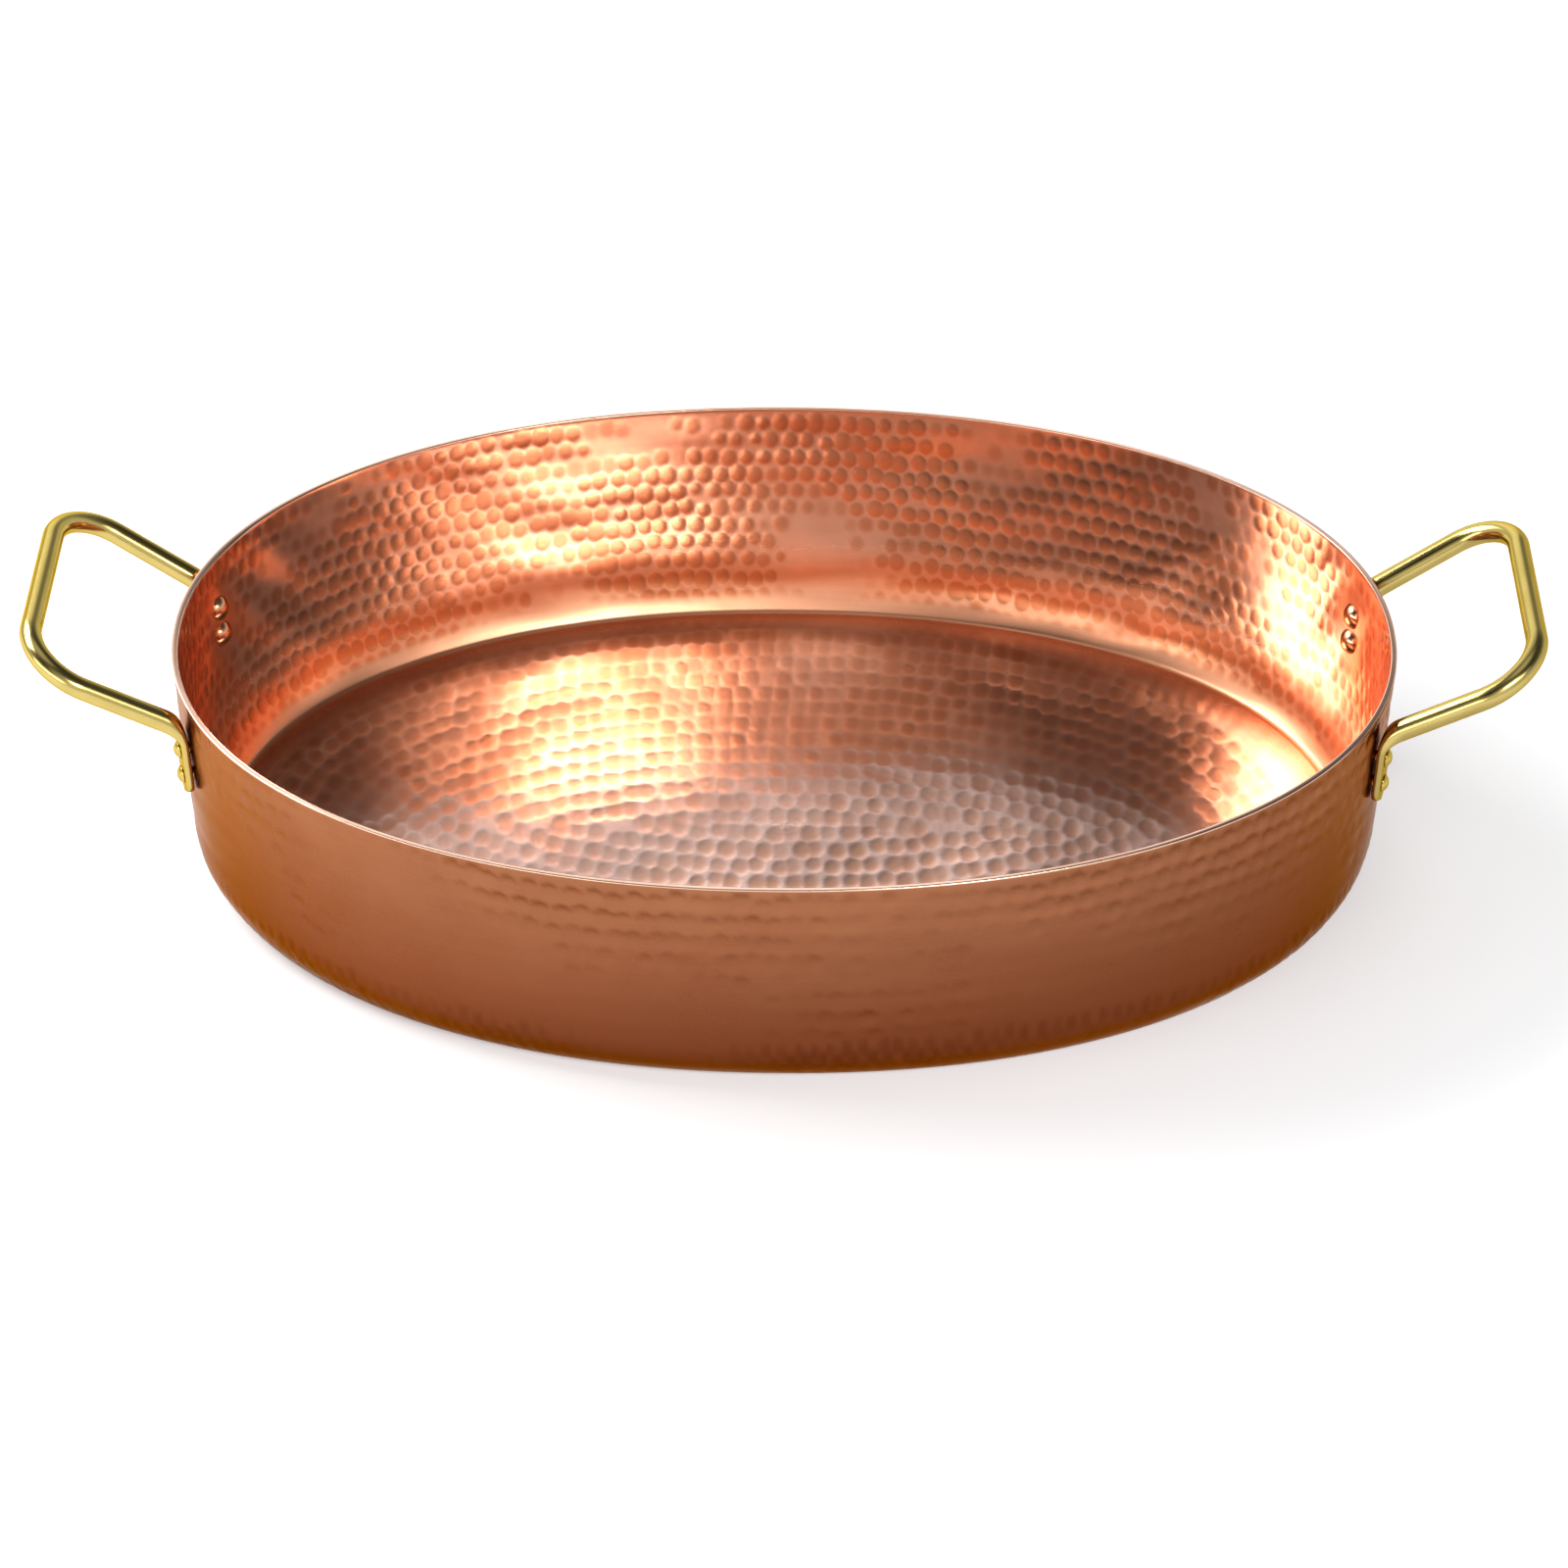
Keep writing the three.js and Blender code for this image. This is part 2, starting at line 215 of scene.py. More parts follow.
def planished_copper(name, colours, edge, hollow_tint_and_painted_shade, rough_low, rough_high, foot_satin):
    """Copper sheet worked with a polished hammer: a mirror broken by shallow hollows. The eye sees orange
    metal, paler and pinker on the scoured floor, softly clouded. The hollows of the blows take a darker tint,
    partly the patina that stays there and partly painted shade in the hollows; on the outside it is the
    painted shade under each mark's upper lip.
    The colours are given with the way down from the rim at which each is reached; the deeper or darker ones
    low on a wall are painted shade."""
    material, tree = new_material(name)
    place = add(tree, "ShaderNodeNewGeometry").outputs["Position"]
    split = add(tree, "ShaderNodeSeparateXYZ", {"Vector": place})
    down = add(tree, "ShaderNodeAttribute", attribute_name="down_mm").outputs["Fac"]
    hollow = add(tree, "ShaderNodeAttribute", attribute_name="hollow").outputs["Fac"]

    row = add(tree, "ShaderNodeCombineXYZ")
    lengths = (STREAK_LENGTH * MM, STREAK_LENGTH * MM, STREAK_HEIGHT)
    for way, value, size in zip(row.inputs, (split.outputs[0], split.outputs[1], down), lengths):
        scaled = add(tree, "ShaderNodeMath", {0: value, 1: 1 / size}, operation="MULTIPLY")
        tree.links.new(scaled.outputs[0], way)
    streaks = add(tree, "ShaderNodeTexNoise", {
        "Vector": row.outputs[0], "Scale": 1, "Detail": 4, "Roughness": 0.6})
    patches = add(tree, "ShaderNodeTexNoise", {
        "Vector": place, "Scale": 1 / (CLOUD_SIZE * MM), "Detail": 5, "Roughness": 0.62})
    wear = add(tree, "ShaderNodeMath", {0: streaks.outputs["Fac"], 1: 0.35, 2: patches.outputs["Fac"]},
               operation="MULTIPLY_ADD").outputs[0]
    dull = add(tree, "ShaderNodeMapRange", {"Value": wear, "From Min": WEAR_FROM, "From Max": WEAR_TO})

    metal = linear(colours[0][1])
    for (start, _), (stop, colour) in zip(colours, colours[1:]):
        lower = add(tree, "ShaderNodeMapRange", {"Value": down, "From Min": start, "From Max": stop})
        metal = add(tree, "ShaderNodeMix", {0: lower.outputs[0], 6: metal, 7: linear(colour)},
                    data_type="RGBA").outputs[2]
    aged = add(tree, "ShaderNodeMix", {0: AGED_SHARE, 6: metal, 7: linear(AGED_COPPER)},
               data_type="RGBA").outputs[2]
    metal = add(tree, "ShaderNodeMix", {0: dull.outputs[0], 6: metal, 7: aged}, data_type="RGBA").outputs[2]
    # The hollow tint: inside, partly patina kept in the hollows and partly painted shade there; outside,
    # painted shade under the upper lip of each mark
    struck = add(tree, "ShaderNodeMapRange", {"Value": hollow, "From Max": FULL_HOLLOW}).outputs[0]
    colour = add(tree, "ShaderNodeMix", {0: struck, 6: metal, 7: linear(hollow_tint_and_painted_shade)},
                 data_type="RGBA", blend_type="MULTIPLY").outputs[2]

    rough = add(tree, "ShaderNodeMapRange", {
        "Value": wear, "From Min": WEAR_FROM, "From Max": WEAR_TO, "To Min": rough_low, "To Max": rough_high})
    foot = add(tree, "ShaderNodeMapRange", {
        "Value": down, "From Min": FOOT_FROM, "From Max": FOOT_FULL, "To Max": foot_satin})
    on_wall = add(tree, "ShaderNodeMapRange", {
        "Value": down, "From Min": FOOT_TO, "From Max": FLOOR_FROM, "To Min": 1, "To Max": 0})
    rough = add(tree, "ShaderNodeMath", {0: foot.outputs[0], 1: on_wall.outputs[0], 2: rough.outputs[0]},
                operation="MULTIPLY_ADD").outputs[0]

    grit = add(tree, "ShaderNodeTexNoise", {
        "Vector": place, "Scale": 1 / (GRIT_SIZE * MM), "Detail": 3, "Roughness": 0.7})
    bump = add(tree, "ShaderNodeBump", {
        "Height": grit.outputs["Fac"], "Strength": 0.06, "Distance": GRIT_HEIGHT * MM})
    finish_material(tree, add(tree, "ShaderNodeBsdfPrincipled", {
        "Base Color": colour, "Metallic": 1.0, "Roughness": rough, "Specular Tint": linear(edge),
        "Normal": bump.outputs[0]}))
    return material


def polished_brass(name, bright, deep, inside, rough_low, rough_high):
    """Drawn brass, bent or headed and buffed: a yellow mirror with fine buffing lines and faint handling
    marks. Heads inside the pan are painted a warmer, coppery colour: a painted reflection of the copper around
    them."""
    material, tree = new_material(name)
    place = add(tree, "ShaderNodeNewGeometry").outputs["Position"]
    cloud = add(tree, "ShaderNodeTexNoise", {
        "Vector": place, "Scale": 1 / (HANDLING_MARK_SIZE * MM), "Detail": 4, "Roughness": 0.55})
    lines = add(tree, "ShaderNodeTexNoise", {
        "Vector": place, "Scale": 1 / (BUFFING_LINE_SIZE * MM), "Detail": 4, "Roughness": 0.7})
    clouded = add(tree, "ShaderNodeMix", {0: cloud.outputs["Fac"], 6: linear(bright), 7: linear(deep)},
                  data_type="RGBA").outputs[2]
    # Points inside the pan take the coppery colour, a painted reflection of the copper walls
    painted_copper_reflection = add(tree, "ShaderNodeAttribute", attribute_name="inside").outputs["Fac"]
    colour = add(tree, "ShaderNodeMix", {0: painted_copper_reflection, 6: clouded, 7: linear(inside)},
                 data_type="RGBA").outputs[2]
    rough = add(tree, "ShaderNodeMapRange", {
        "Value": cloud.outputs["Fac"], "From Min": 0.3, "From Max": 0.7,
        "To Min": rough_low, "To Max": rough_high}).outputs[0]
    bump = add(tree, "ShaderNodeBump", {
        "Height": lines.outputs["Fac"], "Strength": 0.15, "Distance": BUFFING_LINE_HEIGHT * MM})
    finish_material(tree, add(tree, "ShaderNodeBsdfPrincipled", {
        "Base Color": colour, "Metallic": 1.0, "Roughness": rough, "Specular Tint": linear("#dcc080"),
        "Normal": bump.outputs[0]}))
    return material


def mesh_piece(name, points, faces, materials, face_material=None):
    """A smooth-shaded object from points in millimetres and faces of three or four corners."""
    mesh = bpy.data.meshes.new(name)
    sizes = np.array([len(block[0]) for block in faces for _ in block], dtype=np.int32)
    corners = np.concatenate([np.asarray(block, dtype=np.int32).ravel() for block in faces])
    mesh.vertices.add(len(points))
    mesh.vertices.foreach_set("co", (np.asarray(points) * MM).astype(np.float32).ravel())
    mesh.loops.add(len(corners))
    mesh.loops.foreach_set("vertex_index", corners)
    mesh.polygons.add(len(sizes))
    mesh.polygons.foreach_set("loop_start", np.concatenate([[0], np.cumsum(sizes)[:-1]]).astype(np.int32))
    mesh.polygons.foreach_set("use_smooth", np.ones(len(sizes), dtype=bool))
    for material in materials:
        mesh.materials.append(material)
    if face_material is not None:
        mesh.polygons.foreach_set("material_index", np.asarray(face_material, dtype=np.int32))
    mesh.update(calc_edges=True)
    mesh.validate()
    piece = bpy.data.objects.new(name, mesh)
    bpy.context.scene.collection.objects.link(piece)
    return piece


def mark_points(piece, name, values):
    """A number at each point of a piece, for its material to read."""
    attribute = piece.data.attributes.new(name, "FLOAT", "POINT")
    attribute.data.foreach_set("value", np.asarray(values, dtype=np.float32))


def joined_rings(rings):
    """Faces between rings of points; a ring may have half or twice the points of the one before."""
    quads, triangles = [], []
    low = 0
    for first, second in zip(rings[:-1], rings[1:]):
        a, b = len(first), len(second)
        high = low + a
        i = np.arange(min(a, b))
        j = (i + 1) % min(a, b)
        if a == b:
            quads.append(np.stack([low + i, high + i, high + j, low + j], 1))
        elif b == 2 * a:
            fine, mid, end = high + 2 * i, high + 2 * i + 1, high + 2 * j
            triangles += [np.stack(t, 1) for t in (
                (low + i, fine, mid), (low + i, mid, low + j), (low + j, mid, end))]
        else:
            fine, mid, end = low + 2 * i, low + 2 * i + 1, low + 2 * j
            triangles += [np.stack(t, 1) for t in (
                (fine, high + i, mid), (mid, high + i, high + j), (mid, high + j, end))]
        low = high
    return quads, triangles


def closed_rings(rings, first_tip, last_tip):
    """Points and faces of a closed skin: rings joined in turn, and a point beyond the first and the last."""
    quads, triangles = joined_rings(rings)
    tip = sum(len(ring) for ring in rings)
    i = np.arange(len(rings[0]))
    triangles.append(np.stack([np.full(len(i), tip), i, (i + 1) % len(i)], 1))
    i = np.arange(len(rings[-1]))
    last = tip - len(i)
    triangles.append(np.stack([last + i, np.full(len(i), tip + 1), last + (i + 1) % len(i)], 1))
    points = np.concatenate([*rings, [first_tip, last_tip]])
    return points, [np.concatenate(quads), np.concatenate(triangles)]


# The oval

def outline_from(cosine, sine):
    """Points of the rim's outer edge and the outward directions there."""
    power = 2 / OUTLINE_FULLNESS
    half = np.array([RIM_LENGTH / 2, RIM_WIDTH / 2])
    turn = np.stack([cosine, sine], -1)
    points = half * np.sign(turn) * np.abs(turn) ** power
    outward = np.sign(turn) * np.abs(turn) ** (2 - power) / half
    return points, outward / np.linalg.norm(outward, axis=-1, keepdims=True)


def travelled(path):
    """How far along a path each of its points lies."""
    return np.concatenate([[0], np.cumsum(np.linalg.norm(np.diff(path, axis=0), axis=1))])


def even_outline(count):
    """The rim's edge in points evenly spaced along it, the outward directions there, and its length."""
    angles = np.linspace(0, 2 * math.pi, OUTLINE_SAMPLES)
    points, _ = outline_from(np.cos(angles), np.sin(angles))
    travel = travelled(points)
    even = np.interp(np.linspace(0, travel[-1], count, endpoint=False), travel, angles)
    points, outward = outline_from(np.cos(even), np.sin(even))
    return points - SKIN_INSET * outward, outward, travel[-1]


# Hammer marks: each blow is a shallow round hollow, and where hollows meet they leave a crisp ridge

def ramp(value, start, width):
    """0 up to the start, then rising evenly to 1 over the width."""
    return np.clip((value - start) / width, 0, 1)


def slow_waves(seed, x, y, size):
    """A smooth random field between about -1 and 1, with features of the given size."""
    random = np.random.RandomState(seed)
    total = np.zeros(np.broadcast(x, y).shape)
    for _ in range(7):
        angle, phase = random.uniform(0, 2 * math.pi, 2)
        wave = 2 * math.pi / (size * random.uniform(0.8, 2.2))
        total += np.sin(wave * (x * math.cos(angle) + y * math.sin(angle)) + phase)
    return total / 3.2


def struck_everywhere(row, angle):
    return 0


def rarer_below(row, angle):
    """Outside, the marks fade down the wall, and they are fewer over the back and the left end."""
    return 0.17 * row + 0.3 * (math.cos(angle + 0.6) < 0)


def here_and_there(row, angle):
    return 0.25


def wall_blows(seed, length, first_row, row_pitch, rows, pitch, half_width, half_height, depth, bare):
    """Rows of blows round the wall, as distance round, distance down, half sizes and depth. The strength of
    the blows varies in patches, less what bare takes away, and the rows drift slowly up and down."""
    random = np.random.RandomState(seed)
    count = round(length / pitch)
    blows = []
    for row in range(rows):
        for place in range(count):
            round_mm = (place + 0.5 * (row % 2) + random.normal(0, 0.07)) * length / count
            angle = 2 * math.pi * round_mm / length
            x, y = np.array(math.cos(angle)), np.array(math.sin(angle))
            patch = slow_waves(seed + 1, 150 * x + 90, 150 * y + 9 * row, 70)
            drift = slow_waves(seed + 2, 160 * x, 160 * y + 14 * row, 120)
            strength = np.clip(0.85 + 0.7 * patch + random.normal(0, 0.18) - bare(row, angle), 0, 1.2)
            if strength > 0.12:
                size = random.normal(1, 0.09)
                down_mm = first_row + row_pitch * row + 1.2 * drift + random.normal(0, 0.5)
                tall = half_height * size * random.normal(1, 0.05)
                blows.append((round_mm, down_mm, half_width * size, tall, depth * strength))
    return blows


def strike_wall(length, columns, downs, blows):
    """Depth of the hollows on a wall, for each distance down and each column round."""
    depth = np.zeros((len(downs), columns))
    step = length / columns
    for round_mm, down_mm, half_width, half_height, deepest in blows:
        rows = np.arange(*np.searchsorted(downs, (down_mm - half_height, down_mm + half_height)))
        first, last = math.ceil((round_mm - half_width) / step), math.floor((round_mm + half_width) / step)
        near = np.arange(first, last + 1)
        beside = ((near * step - round_mm) / half_width) ** 2
        below = ((downs[rows] - down_mm) / half_height) ** 2
        hollow = deepest * (1 - (beside + below[:, None]) ** 1.4)
        spot = np.ix_(rows, near % columns)
        depth[spot] = np.maximum(depth[spot], hollow)
    return depth


def floor_blows(seed, edge, outward, squash, ring_pitch, pitch, depth):
    """Rings of blows on a floor, following its oval edge, as x, y, half sizes and depth. They are laid out on
    a floor narrowed by the squash, so that each is that much longer from front to back."""
    random = np.random.RandomState(seed)
    flat_edge = edge / (1, squash)
    flat_out = outward * (1, squash)
    flat_out = flat_out / np.linalg.norm(flat_out, axis=1, keepdims=True)
    blows = []
    for ring in range(int(edge[:, 1].max() / squash / ring_pitch) + 1):
        inset = ring_pitch * (ring + 0.35)
        path = flat_edge - flat_out * inset
        travel = travelled(path)
        count = max(1, round(travel[-1] / pitch))
        for place in range(count):
            along = (place + 0.5 * (ring % 2) + random.normal(0, 0.09)) * travel[-1] / count
            spot = np.array([np.interp(along, travel, path[:, 0]), np.interp(along, travel, path[:, 1])])
            if np.linalg.norm(flat_edge - spot, axis=1).min() < inset - 0.6:
                continue
            x, y = spot + random.normal(0, 0.45, 2)
            patch = slow_waves(seed + 1, np.array(x), np.array(y), 60)
            strength = 0.8 + 0.35 * patch + random.normal(0, 0.15)
            size = 0.54 * random.normal(1, 0.07)
            if strength > 0.15:
                tall = ring_pitch * squash * size
                blows.append((x, y * squash, pitch * size, tall, depth * min(strength, 1.2)))
    return blows


def strike_floor(x, y, blows):
    """Depth of the hollows at points of a floor."""
    depth = np.zeros(len(x))
    for centre_x, centre_y, half_width, half_height, deepest in blows:
        near = np.nonzero((np.abs(x - centre_x) < half_width) & (np.abs(y - centre_y) < half_height))[0]
        away = ((x[near] - centre_x) / half_width) ** 2 + ((y[near] - centre_y) / half_height) ** 2
        depth[near] = np.maximum(depth[near], deepest * (1 - away ** 1.4))
    return depth


# The pan

def pan_side(thinner, bends, step):
    """Rows of one face of the wall and its bends, from the rim down: inset, height, outward and upward share
    of the direction towards the outer face, and the way down. The inner face is thinner by the sheet."""
    angle = WALL_FLARE
    inset = thinner / math.cos(angle)
    height = PAN_HEIGHT
    starts = [WALL_FLARE] + [last for _, last in bends]
    bent = sum(radius * (math.sin(last) - math.sin(first)) for (radius, last), first in zip(bends, starts))
    wall_length = (PAN_HEIGHT - thinner - bent) / math.cos(angle)
    rows = [(inset + gone * math.sin(angle), height - gone * math.cos(angle),
             math.cos(angle), -math.sin(angle), gone)
            for gone in np.arange(0, wall_length - step / 2, step)]
    inset += wall_length * math.sin(angle)
    height -= wall_length * math.cos(angle)
    down = wall_length
    for radius, last in bends:
        count = max(3, round(radius * (last - angle) / min(step, radius / 7)))
        for turn in np.linspace(angle, last, count, endpoint=False):
            rows.append((inset + radius * (math.cos(angle) - math.cos(turn)),
                         height - radius * (math.sin(turn) - math.sin(angle)),
                         math.cos(turn), -math.sin(turn), down + radius * (turn - angle)))
        inset += radius * (math.cos(angle) - math.cos(last))
        height -= radius * (math.sin(last) - math.sin(angle))
        down += radius * (last - angle)
        angle = last
    rows.append((inset, thinner, 0, -1, down))
    rows = np.array(rows)
    return rows[rows[:, 4] > RIM_BAND]


def side_points(points, outward, side, shift=0):
    """Rings of a side, each point moved by shift towards the metal's outer face."""
    inset, height, out, up = (side[:, i][:, None] for i in range(4))
    reach = shift * out - inset
    flat = points[None] + outward[None] * reach[..., None]
    heights = np.broadcast_to(height + shift * up, flat.shape[:2])
    return np.concatenate([flat, heights[..., None]], axis=-1)


def near_rivets(points):
    """How much of a hammer mark stays, from none at a rivet to all away from it."""
    keep = np.ones(points.shape[:-1])
    for end in (-1, 1):
        for axes in (foot_axes(end), HALF_TURN @ foot_axes(end)):
            for depth in RIVET_DEPTHS.values():
                spot = np.array(axes @ Vector((0, 0, -depth)))
                gap = np.linalg.norm(points - spot, axis=-1)
                keep = np.minimum(keep, ramp(gap, RIVET_CLEAR, RIVET_FADE))
    return keep


def ring_shares(count):
    """How far out the rings of a disc lie, from near the middle to its edge."""
    shares = (np.arange(count) + 0.5) / count
    return shares[shares > 0.01]


def disc_rings(edge, outward, shares, height_at):
    """Rings from near the middle out to an oval edge, with fewer points as they shrink."""
    rings = []
    reach = (edge * outward).sum(axis=1)
    for share in shares:
        every = 1
        while share * every < 0.55 and every < 32:
            every *= 2
        flat = edge[::every] * share
        from_edge = (1 - share) * reach[::every]
        rings.append(np.concatenate([flat, height_at(flat, from_edge)[:, None]], axis=1))
    return rings


def dish_rise(x):
    """How far the floor's edge rises into the corner, growing towards the right end."""
    return DISH_RISE * np.clip(2 * x / RIM_LENGTH, 0, 1) ** 3


def inside_wall(points, outward, length):
    """Rings of the wall's inner face from the floor up, how far down each lies, the depth of its marks, and
    the inset of the floor's edge."""
    side = pan_side(SHEET, INNER_BENDS, INSIDE_STEP)
    downs = side[:, 4]
    to_floor = (downs[-1] - downs)[:, None]
    plain = side_points(points, outward, side)
    blows = wall_blows(3, length, first_row=5.4, row_pitch=7.0, rows=11, pitch=6.1, half_width=3.05,
                       half_height=3.5, depth=0.145, bare=struck_everywhere)
    marks = strike_wall(length, len(points), downs, blows) * ramp(to_floor, 6, 5) * near_rivets(plain)
    ease = ramp(downs, 0, 12)[:, None] * ramp(to_floor, 0, 14)
    sway = 0.22 * slow_waves(11, plain[..., 0], 3.0 * plain[..., 1] + 2.4 * plain[..., 2], 55) * ease
    rings = side_points(points, outward, side, marks + sway)
    rings[..., 2] += dish_rise(rings[..., 0]) * (1 - ramp(to_floor, 0, DISH_UP_WALL)) ** 2
    return list(rings[::-1]), downs[::-1], marks[::-1], side[-1, 0]


def hammered_floor(edge, outward):
    """Rings of the floor from the middle out, and how much of a hollow the copper reads at each point."""
    blows = floor_blows(21, edge[::4], outward[::4], squash=1.42, ring_pitch=6.4, pitch=6.3, depth=0.13)
    shades = []

    def height_at(flat, from_edge):
        x, y = flat[:, 0], flat[:, 1]
        sway = 0.2 * slow_waves(31, x, y, 70) * ramp(from_edge, 0, 18)
        border = FLOOR_BORDER + FLOOR_BORDER_MORE * np.clip(x / edge[:, 0].max(), 0, 1) ** 3
        marks = strike_floor(x, y, blows) * ramp(from_edge, border, 3)
        shades.append(0.4 * marks)
        rise = dish_rise(x) * (1 - ramp(from_edge, 0, DISH_WIDTH)) ** 3
        return SHEET - marks + sway + rise

    rings = disc_rings(edge, outward, ring_shares(FLOOR_RINGS), height_at)
    return rings, np.concatenate(shades)


def filed_rim(points, outward):
    """Rings over the rim from the inner face to the outer, its two edges rounded and its face sloping."""
    lean = RIM_EDGE_RADIUS * math.tan(WALL_FLARE)
    shoulder = PAN_HEIGHT - RIM_EDGE_RADIUS
    inner_centre = SHEET / math.cos(WALL_FLARE) + lean - RIM_EDGE_RADIUS
    outer_centre = lean + RIM_EDGE_RADIUS
    quarter = np.linspace(0, math.pi / 2, 5)
    section = [(inner_centre + RIM_EDGE_RADIUS * math.cos(a), shoulder + RIM_EDGE_RADIUS * math.sin(a))
               for a in quarter]
    section += [(outer_centre - RIM_EDGE_RADIUS * math.cos(a), shoulder + RIM_EDGE_RADIUS * math.sin(a))
                for a in quarter[::-1]]
    tilt = RIM_TILT * (outward @ (math.cos(RIM_TILT_TO), math.sin(RIM_TILT_TO)))
    rings = []
    for inset, height in section:
        inward = inset - lean
        sunk = np.maximum(tilt * inward, tilt * (inward - SHEET)) * (height > shoulder)
        rings.append(np.column_stack([points - outward * inset, height - sunk]))
    return rings


def outside_wall(points, outward, length):
    """Rings of the wall's outer face from the rim down, how far down each lies, the painted shade under the
    upper lip of each mark, where its hollow faces down, with a faint darker tint in the flecks, and the inset
    of the base's edge."""
    side = pan_side(0, OUTER_BENDS, OUTSIDE_STEP)
    downs = side[:, 4]
    plain = side_points(points, outward, side)
    keep = near_rivets(plain)
    rows = wall_blows(43, length, first_row=6, row_pitch=7.8, rows=8, pitch=6.6, half_width=3.2,
                      half_height=3.6, depth=0.55, bare=rarer_below)
    flecks = wall_blows(53, length, first_row=66, row_pitch=5.2, rows=3, pitch=5.2, half_width=2,
                        half_height=4.6, depth=0.3, bare=here_and_there)
    struck = strike_wall(length, len(points), downs, rows)
    flecked = strike_wall(length, len(points), downs, flecks)
    ease = ramp(downs, 0, 10)[:, None] * ramp(downs[-1] - downs, 0, 10)[:, None]
    sway = 0.12 * (1 + slow_waves(47, plain[..., 0], plain[..., 1] + 7 * plain[..., 2], 80)) * ease
    # Painted shade: the copper is tinted darker where a mark's hollow faces down, under its upper lip, as if
    # lit from above, and a little darker in the flecks
    painted_lip_shade = np.clip(np.gradient(struck * keep, downs, axis=0), 0, 0.36) / 6 + 0.1 * flecked
    rings = side_points(points, outward, side, -(np.maximum(struck, flecked) * keep + np.abs(sway)))
    return list(rings), downs, painted_lip_shade, side[-1, 0]


def hammered_base(edge, outward):
    """Rings of the base from its edge to the middle, lightly struck up from the plane it stands on."""
    blows = floor_blows(61, edge[::2], outward[::2], squash=1.2, ring_pitch=8, pitch=8, depth=0.1)

    def height_at(flat, from_edge):
        return strike_floor(flat[:, 0], flat[:, 1], blows)

    return disc_rings(edge, outward, ring_shares(BASE_RINGS), height_at)[::-1]


def over_rings(rings, values):
    """One value for each ring, repeated over its points."""
    return np.repeat(values, [len(ring) for ring in rings])


def hammered_pan(materials):
    """The whole skin of the pan: floor, inner face, rim, outer face and base. The last two have half the
    columns."""
    points, outward, length = even_outline(INSIDE_COLUMNS)
    half_points, half_outward = points[::2], outward[::2]
    inner, inner_downs, marks, floor_inset = inside_wall(points, outward, length)
    floor, floor_shade = hammered_floor(points - outward * floor_inset, outward)
    rim = filed_rim(points, outward)
    outer, outer_downs, painted_lip_shade, base_inset = outside_wall(half_points, half_outward, length)
    base = hammered_base(half_points - half_outward * base_inset, half_outward)

    middle_height = floor[0][:, 2].mean()
    vertices, faces = closed_rings(floor + inner + rim + outer + base, [0, 0, middle_height], [0, 0, 0])
    inside_count = sum(len(ring) for ring in floor + inner + rim[:-1])
    is_outside = np.concatenate([block.min(axis=1) >= inside_count for block in faces])
    piece = mesh_piece("hammered_pan", vertices, faces, materials, is_outside)

    floor_downs = FLOOR_EDGE_DOWN + EDGE_TO_MIDDLE * (1 - ring_shares(FLOOR_RINGS))
    base_downs = BASE_EDGE_DOWN + EDGE_TO_MIDDLE * (1 - ring_shares(BASE_RINGS)[::-1])
    on_rim = over_rings(rim, np.zeros(len(rim)))
    on_base = over_rings(base, np.zeros(len(base)))
    mark_points(piece, "down_mm", np.concatenate([
        over_rings(floor, floor_downs), over_rings(inner, inner_downs), on_rim,
        over_rings(outer, outer_downs), over_rings(base, base_downs),
        [FLOOR_EDGE_DOWN + EDGE_TO_MIDDLE, BASE_EDGE_DOWN + EDGE_TO_MIDDLE]]))
    # The value each point's hollow tint reads: inside, the marks' depth, partly painted shade; outside, the
    # painted shade under each mark's upper lip
    mark_points(piece, "hollow", np.concatenate([
        floor_shade, marks.ravel(), on_rim, painted_lip_shade.ravel(), on_base, [0, 0]]))
    return piece


# Handles and rivets

def foot_axes(end):
    """A foot's axes on the wall at the +X end, from the rim: X across it, Y out of the wall, Z up it."""
    y = end * FOOT_SPREAD / 2
    sine = math.copysign((abs(y) / (RIM_WIDTH / 2)) ** (OUTLINE_FULLNESS / 2), y)
    point, outward = outline_from(np.array(math.sqrt(1 - sine * sine)), np.array(sine))
    lean, upright = math.sin(WALL_FLARE), math.cos(WALL_FLARE)
    out = Vector((outward[0] * upright, outward[1] * upright, -lean))
    up = Vector((outward[0] * lean, outward[1] * lean, upright))
    across = out.cross(up)
    axes = Matrix((across, out, up)).transposed().to_4x4()
    axes.translation = (point[0], point[1], PAN_HEIGHT)
    return axes


def rounded_route(corners, radii):
    """Points along a straight-sided route whose inner corners are rounded, with the directions there."""
    route = []

    def run(start, stop):
        count = max(1, round((stop - start).length / ROD_STRAIGHT_STEP))
        route.extend((start.lerp(stop, i / count), (stop - start).normalized()) for i in range(count))

    start = corners[0]
    for before, corner, after, radius in zip(corners, corners[1:], corners[2:], radii):
        back, ahead = (before - corner).normalized(), (after - corner).normalized()
        turn = math.pi - back.angle(ahead)
        setback = radius * math.tan(turn / 2)
        bend_in, bend_out = corner + back * setback, corner + ahead * setback
        run(start, bend_in)
        axis = (-back).cross(ahead).normalized()
        centre = bend_in + axis.cross(-back) * radius
        count = max(2, round(radius * turn / ROD_BEND_STEP))
        for i in range(count):
            swing = Matrix.Rotation(turn * i / count, 3, axis)
            route.append((centre + swing @ (bend_in - centre), (swing @ -back).normalized()))
        start = bend_out
    run(start, corners[-1])
    route.append((corners[-1], (corners[-1] - corners[-2]).normalized()))
    return route


def smoothstep(value, low, high):
    share = min(1, max(0, (value - low) / (high - low)))
    return share * share * (3 - 2 * share)


